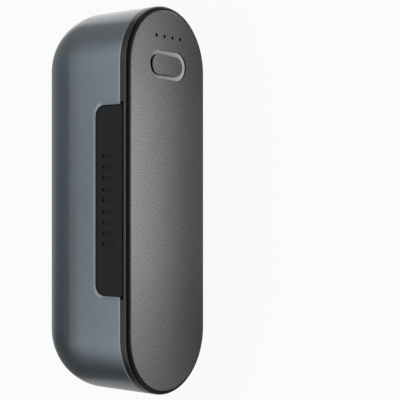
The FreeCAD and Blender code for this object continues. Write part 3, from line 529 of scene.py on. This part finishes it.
def floor_material():
    """Pale floor that is white to the camera, and in reflections carries painted light by shares round the
    part, and painted shade where it is dimmed.
    """
    material, tree, shader = new_material("pale_floor")
    shader.inputs["Base Color"].default_value = FLOOR_COLOUR
    shader.inputs["Roughness"].default_value = FLOOR_ROUGHNESS
    path = add_node(tree, "ShaderNodeLightPath").outputs
    place = add_node(tree, "ShaderNodeNewGeometry").outputs["Position"]
    shares = [share(tree, place) for share in (front_share, end_share, foot_share, back_share)]
    mirrored = combine(tree, "MULTIPLY",
                       combine(tree, "MAXIMUM", path["Is Glossy Ray"], path["Is Transmission Ray"]),
                       combine(tree, "MAXIMUM", *shares))
    seen = ramp(tree, path["Is Camera Ray"], (0, 1), 0, FLOOR_TO_CAMERA)
    dim = ramp(tree, path["Is Glossy Ray"], (0, 1), 0, FLOOR_DIM)
    dark = add_node(tree, "ShaderNodeEmission", Strength=0.0).outputs["Emission"]
    white = add_node(tree, "ShaderNodeEmission", Strength=1.0).outputs["Emission"]
    dimmed = mix_shaders(tree, dim, shader.outputs["BSDF"], dark)
    surface = mix_shaders(tree, combine(tree, "MAXIMUM", seen, mirrored), dimmed, white)
    tree.links.new(surface, tree.nodes["Material Output"].inputs["Surface"])
    return material


def front_share(tree, place):
    """In front of the plate the floor grows whiter with the distance, and less so beside both ends."""
    ahead = along(tree, place, TO_FRONT)
    past = along(tree, place, TO_BUTTON)
    return combine(tree, "MULTIPLY",
                   ramp(tree, ahead, FRONT_FADE, FRONT_START_SHARE, 1),
                   ramp(tree, ahead, FRONT_START, 0, 1),
                   ramp(tree, past, FRONT_FAR_FADE, FRONT_FAR_SHARE, 1, "LINEAR"),
                   ramp(tree, past, FRONT_BUTTON_FADE, FRONT_BUTTON_SHARE, 1, "LINEAR"))


def end_share(tree, place):
    """Past the button end it is white beside the part, and weaker slantwise towards the back."""
    return combine(tree, "MULTIPLY",
                   ramp(tree, along(tree, place, TO_BUTTON), END_FADE, 0, 1),
                   ramp(tree, along(tree, place, TO_FRONT), END_AHEAD, 0, 1),
                   ramp(tree, along(tree, place, END_SLANT), END_SLANT_FADE, 1, END_SLANT_SHARE))


def foot_share(tree, place):
    """Past the far end it is a little white beside the part, and not towards the back."""
    return combine(tree, "MULTIPLY",
                   ramp(tree, along(tree, place, TO_BUTTON), FOOT_FADE, 0, FOOT_SHARE),
                   ramp(tree, along(tree, place, FOOT_SLANT), FOOT_SLANT_FADE, 1, 0),
                   ramp(tree, along(tree, place, TO_FRONT), FOOT_AHEAD, 0, 1))


def back_share(tree, place):
    """Behind the part it is a little white, but not past the far end."""
    return combine(tree, "MULTIPLY",
                   ramp(tree, along(tree, place, TO_BACK), BACK_FADE, 0, BACK_SHARE),
                   ramp(tree, along(tree, place, TO_BUTTON), BACK_FOOT_FADE, 0, 1))


def make_world():
    """Soft studio light from all round, with a plain white world to the camera."""
    world = bpy.data.worlds.new("studio")
    world.use_nodes = True
    tree = world.node_tree
    way = add_node(tree, "ShaderNodeTexCoord").outputs["Generated"]
    level = combine(tree, "MAXIMUM", panel_light(tree, way), low_light(tree, way), side_light(tree, way))
    room = ramp(tree, level, (ROOM_LEVEL, PANEL_LEVEL), ROOM_LEVEL, PANEL_LEVEL, "LINEAR")
    seen = add_node(tree, "ShaderNodeLightPath").outputs["Is Camera Ray"]
    background = tree.nodes["Background"]
    background.inputs["Color"].default_value = (1, 1, 1, 1)
    tree.links.new(mix(tree, seen, room, WORLD_TO_CAMERA), background.inputs["Strength"])
    bpy.context.scene.world = world


def panel_light(tree, way):
    """Broad panel over the grip side, which reaches further back towards both ends."""
    to_end = along(tree, way, TO_BUTTON)
    reach = combine(tree, "ADD",
                    along(tree, way, TO_CAMERA),
                    ramp(tree, to_end, (-1, 0), PANEL_FAR_BEND, 0, "LINEAR"),
                    ramp(tree, to_end, (0, 1), 0, PANEL_BUTTON_BEND, "LINEAR"))
    return combine(tree, "MULTIPLY",
                   ramp(tree, along(tree, way, -TO_RIGHT), PANEL_SIDE, 0, PANEL_LEVEL),
                   ramp(tree, reach, PANEL_EDGE, 0, 1))


def low_light(tree, way):
    """Weaker light behind the part, which rises towards the button end."""
    to_end = along(tree, way, TO_BUTTON)
    level = combine(tree, "ADD",
                    ramp(tree, to_end, MIDDLE_SPAN, FAR_END_LEVEL, MIDDLE_LEVEL),
                    ramp(tree, to_end, BUTTON_END_SPAN, 0, BUTTON_END_RISE))
    return combine(tree, "MULTIPLY", level,
                   ramp(tree, along(tree, way, UPWARDS), LOW_TOP, 0, 1),
                   ramp(tree, along(tree, way, TO_BACK), LOW_BACK, 0, 1))


def side_light(tree, way):
    """Strip past each end, a little behind the plate's plane."""
    ahead = along(tree, way, TO_FRONT)
    return combine(tree, "MULTIPLY",
                   ramp(tree, unsigned(tree, along(tree, way, TO_BUTTON)), SIDE_SPAN, 0, SIDE_LEVEL),
                   ramp(tree, ahead, SIDE_BACK, 0, 1),
                   ramp(tree, ahead, SIDE_FRONT, 1, 0))


def make_camera():
    """Camera that looks along the photograph's line of sight, with the button end at the top."""
    camera = bpy.data.cameras.new("camera")
    camera.sensor_width = CAMERA_SENSOR
    camera.lens = CAMERA_LENS
    camera.clip_start = CAMERA_NEAR
    holder = bpy.data.objects.new("camera", camera)
    steps = TO_RIGHT * CAMERA_SIDE_STEP + TO_BUTTON * CAMERA_END_STEP + TO_CAMERA * CAMERA_DISTANCE
    turn = Matrix((TO_RIGHT, TO_BUTTON, TO_CAMERA)).transposed().to_4x4()
    holder.matrix_world = Matrix.Translation(CENTRE + steps) @ turn
    bpy.context.scene.collection.objects.link(holder)
    bpy.context.scene.camera = holder


make_floor()
make_world()
make_camera()
bpy.context.scene.view_settings.view_transform = "Standard"
